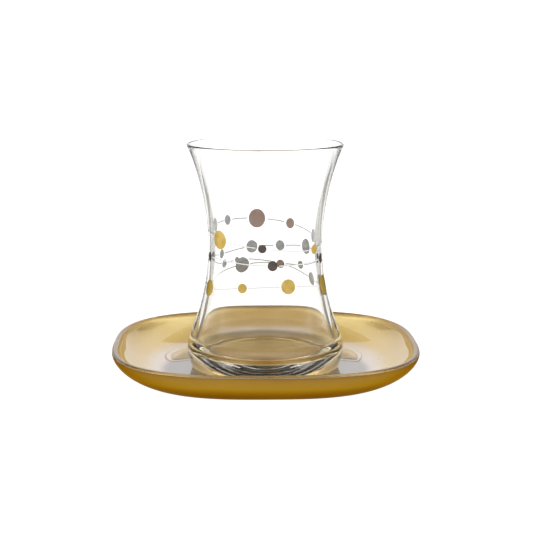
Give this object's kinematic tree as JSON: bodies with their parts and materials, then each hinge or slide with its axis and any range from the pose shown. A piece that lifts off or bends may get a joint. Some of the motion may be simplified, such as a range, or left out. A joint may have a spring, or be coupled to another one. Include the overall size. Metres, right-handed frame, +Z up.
{
  "type": "tea glass with saucer",
  "caption": "Empty hour-glass tea glass of clear glass with a heavy base and printed dots on strings, standing on a soft-square saucer of clear glass with gold lustre underneath.",
  "frame": {"origin": "on the table, at the middle of the saucer's underside and on the glass's axis", "axes": "+Z up along the glass's axis, +X and +Y square to the saucer's sides, -Y towards the viewer"},
  "size_m": [0.1188, 0.1188, 0.091],
  "materials": {
    "clear_glass": "fire-polished clear soda-lime glass",
    "lustre_glass": "clear pressed glass with a gold lustre fired on the underside",
    "gold_lustre": "gold lustre film on the underside of the saucer, seen from below and from the side",
    "gold_print": "fired gold ink, satin, slightly grainy",
    "bronze_print": "fired bronze ink, satin, slightly grainy",
    "brown_print": "fired dark brown ink, satin",
    "platinum_print": "fired platinum ink, satin, slightly grainy",
    "white_enamel": "fired white enamel, thin lines"
  },
  "bodies": {
    "root": {"tea_glass": "clear_glass", "saucer": "lustre_glass"}
  },
  "joints": []
}
